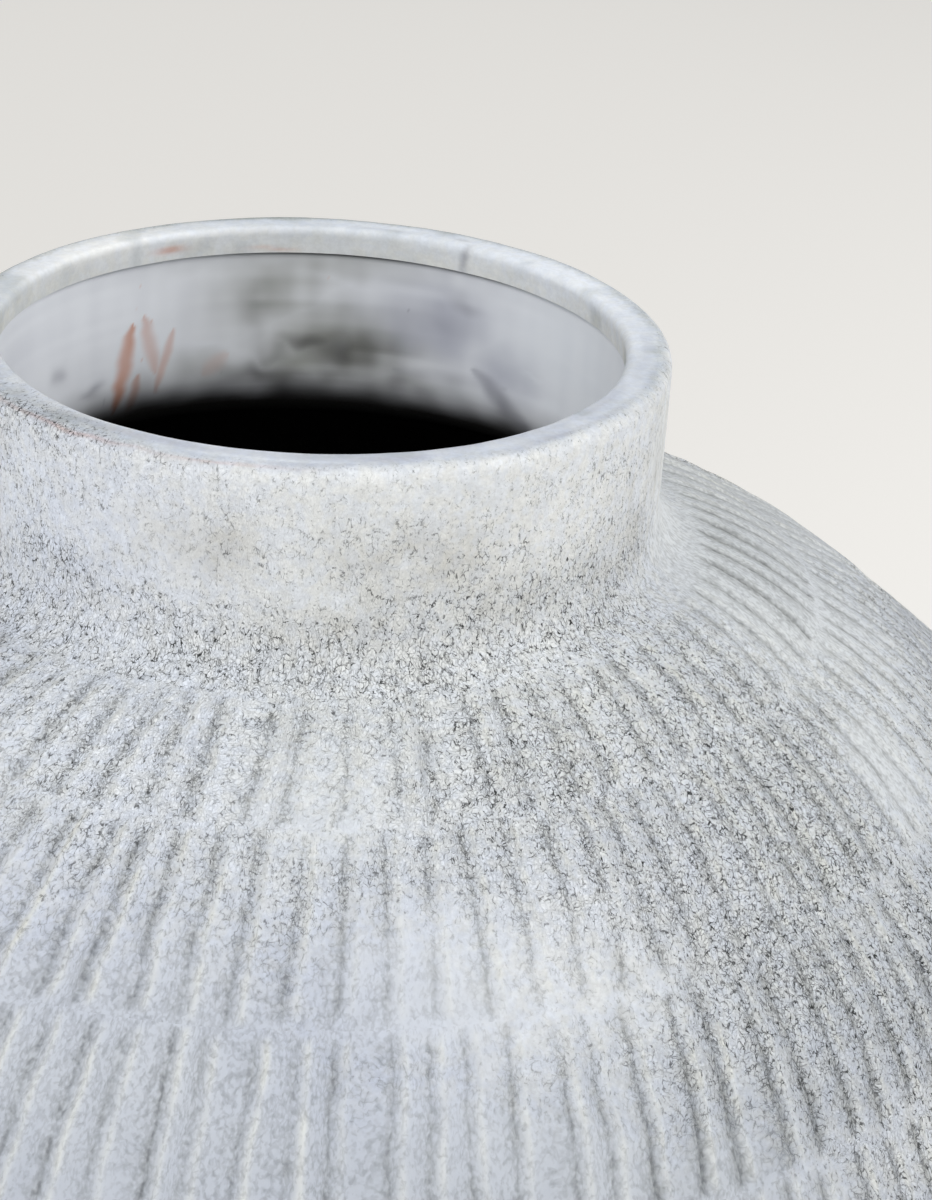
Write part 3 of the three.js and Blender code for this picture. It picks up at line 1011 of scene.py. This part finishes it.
def whitewash(name):
    """The pot's finish: a matt wash in the colour of its coats, with hairlines, soil with painted shade,
    and specks.
    """
    material = bpy.data.materials.new(name)
    paint = Nodes(material)
    mark = {key: paint.stored(key) for key in MARKS}
    grain = paint.vector("MULTIPLY", paint.stored("grain", "Vector"), GRAIN_STRETCH)
    tone = paint.ramp(paint.noise(1.6 * MM), 0.36, 0.64, 0.45, 1.0)
    crumb = paint.noise(0.85 * MM)
    cracks, plates = hairlines(paint, mark, grain, tone)
    specks = grit_specks(paint, mark)
    colour = mottled_wash(paint, mark, tone, crumb)
    # Soil with painted shade on the strokes' steep sides, grit specks and hairlines, each darkening the
    # wash.
    for dark in (caught_soil_and_shade(paint, mark, grain), specks, cracks):
        colour = paint.blend(dark, colour, opaque(CRACK_AND_SHADE))
    height = paint.times_plus(crumb, 0.65, paint.times(plates, 0.6))
    height = paint.times_plus(specks, -0.3, height)
    paint.finish(colour, paint.ramp(crumb, 0.3, 0.7, 0.98, 0.86), height, 0.35 * MM, mark["grit"])
    return material


def fired_clay(name):
    """Clay with no wash on it: the colour of its coats, with crumbs of grog and small pits."""
    material = bpy.data.materials.new(name)
    paint = Nodes(material)
    crumb = paint.noise(1.0 * MM, 3)
    cells = paint.cells(GROG_SPACING, paint.warped(1.2 * MM, 0.2 * MM))
    chance = paint.add("SeparateColor", {"Color": cells["Color"]}).outputs["Red"]
    spots = paint.ramp(cells["Distance"], 0.14, 0.3, 1.0, 0.0)
    grog = paint.times(spots, paint.ramp(chance, 0.62, 0.7))
    pits = paint.times(spots, paint.ramp(chance, 0.22, 0.3, 1.0, 0.0))
    mottle = paint.ramp(paint.noise(6 * MM, 3), 0.3, 0.7, 0.86, 1.08)
    light = paint.times(mottle, paint.ramp(crumb, 0.3, 0.7, 0.92, 1.05))
    colour = paint.scaled(paint.stored("wash", "Color"), light)
    colour = paint.blend(paint.times(grog, 0.35), colour, opaque(CLAY_DUST))
    colour = paint.blend(paint.times(pits, 0.7), colour, opaque(DARK_CLAY))
    height = paint.times_plus(pits, -0.8, paint.times_plus(grog, 0.3, crumb))
    paint.finish(colour, paint.ramp(crumb, 0.3, 0.7, 0.98, 0.84), height, 0.3 * MM, 0.6)
    return material


def make_camera():
    """The camera where the photographer's was, looking down on the mouth."""
    lens = bpy.data.cameras.new("photo_camera")
    lens.sensor_fit = "VERTICAL"
    lens.sensor_height = SENSOR_HEIGHT_MM
    lens.lens = FOCAL_PIXELS / PHOTO_HEIGHT * SENSOR_HEIGHT_MM
    lens.clip_start = 0.01
    camera = new_object("photo_camera", lens)
    camera.matrix_world = (
        Matrix.Translation((0, -CAMERA_BACK, RIM_TOP + CAMERA_ABOVE_RIM))
        @ Matrix.Rotation(-CAMERA_YAW, 4, "Z")
        @ Matrix.Rotation(math.pi / 2 - CAMERA_PITCH, 4, "X")
        @ Matrix.Rotation(CAMERA_ROLL, 4, "Z")
    )
    bpy.context.scene.camera = camera


FLOOR_COLOUR = srgb(238, 236, 232)
BACKDROP_COLOUR = srgb(225, 222, 217)
FLOOR_REACH = 8.0
# How strongly the floor glows where it is seen directly: near the pot, behind it, and more at its edge.
FLOOR_GLOW_NEAR, FLOOR_GLOW_FAR, FLOOR_GLOW_EDGE = 0.222, 0.332, 0.16
# Over which distances from the pot it goes from near to far, and towards its edge.
FLOOR_NEAR_TO_FAR = (0.6, 2.4)
FLOOR_TO_EDGE = (3.0, 7.0)
DOME_STRENGTH = 0.38
# Soft boxes: name, place, watts. All are one size and face the same point.
BOX_SIZE = 1.3
BOX_AIM = Vector((0, 0, 0.4))
SOFT_BOXES = (
    ("left_box", (-1.3, -1.2, 1.9), 22),
    ("right_box", (1.9, 0.2, 1.5), 22),
    ("front_box", (0.3, -1.8, 1.5), 10.5),
)


def make_floor():
    """A pale floor that keeps the pot's shadow."""
    mesh = bpy.data.meshes.new("floor")
    corners = [(x * FLOOR_REACH, y * FLOOR_REACH, 0) for x, y in ((-1, -1), (1, -1), (1, 1), (-1, 1))]
    mesh.from_pydata(corners, [], [(0, 1, 2, 3)])
    material = bpy.data.materials.new("floor_paper")
    paint = Nodes(material)
    paper = paint.add("BsdfDiffuse", {"Color": opaque(FLOOR_COLOUR)}).outputs[0]
    away = paint.add("VectorMath", {0: paint.place}, operation="LENGTH").outputs["Value"]
    strength = paint.ramp(away, *FLOOR_NEAR_TO_FAR, FLOOR_GLOW_NEAR, FLOOR_GLOW_FAR)
    strength = paint.math("ADD", strength, paint.ramp(away, *FLOOR_TO_EDGE, 0.0, FLOOR_GLOW_EDGE))
    glow = paint.add("Emission", {"Color": opaque(FLOOR_COLOUR), "Strength": strength}).outputs[0]
    lit = paint.add("AddShader", {0: paper, 1: glow}).outputs[0]
    paint.add("OutputMaterial", {"Surface": paint.staged(paper, lit)})
    mesh.materials.append(material)
    floor = new_object("floor", mesh)


def make_backdrop():
    """A pale backdrop beyond the floor, and even light from all round."""
    world = bpy.data.worlds.new("studio")
    bpy.context.scene.world = world
    studio = Nodes(world)
    dome = studio.add("Background", {"Color": (1, 1, 1, 1), "Strength": DOME_STRENGTH}).outputs[0]
    backdrop = studio.add("Background", {"Color": opaque(BACKDROP_COLOUR)}).outputs[0]
    studio.add("OutputWorld", {"Surface": studio.staged(dome, backdrop)})


def make_lights():
    """Soft boxes on both sides of the pot and in front of it."""
    for name, place, watts in SOFT_BOXES:
        light = bpy.data.lights.new(name, "AREA")
        light.shape = "SQUARE"
        light.size = BOX_SIZE
        light.energy = watts
        lamp = new_object(name, light)
        lamp.location = place
        lamp.rotation_euler = (BOX_AIM - Vector(place)).to_track_quat("-Z", "Y").to_euler()


bpy.context.scene.view_settings.view_transform = "Standard"
make_camera()
make_floor()
make_backdrop()
make_lights()

fluted_wall = whitewash("fluted_wall")
washed_neck = whitewash("washed_neck")
bare_clay = fired_clay("bare_clay")
dark_clay = fired_clay("dark_clay")
for band_index in range(len(BAND_NAMES)):
    wall_band(band_index, fluted_wall)
neck(washed_neck)
rim(washed_neck)
foot_piece(bare_clay)
slab_piece(bare_clay)
seam_coil_piece(dark_clay)
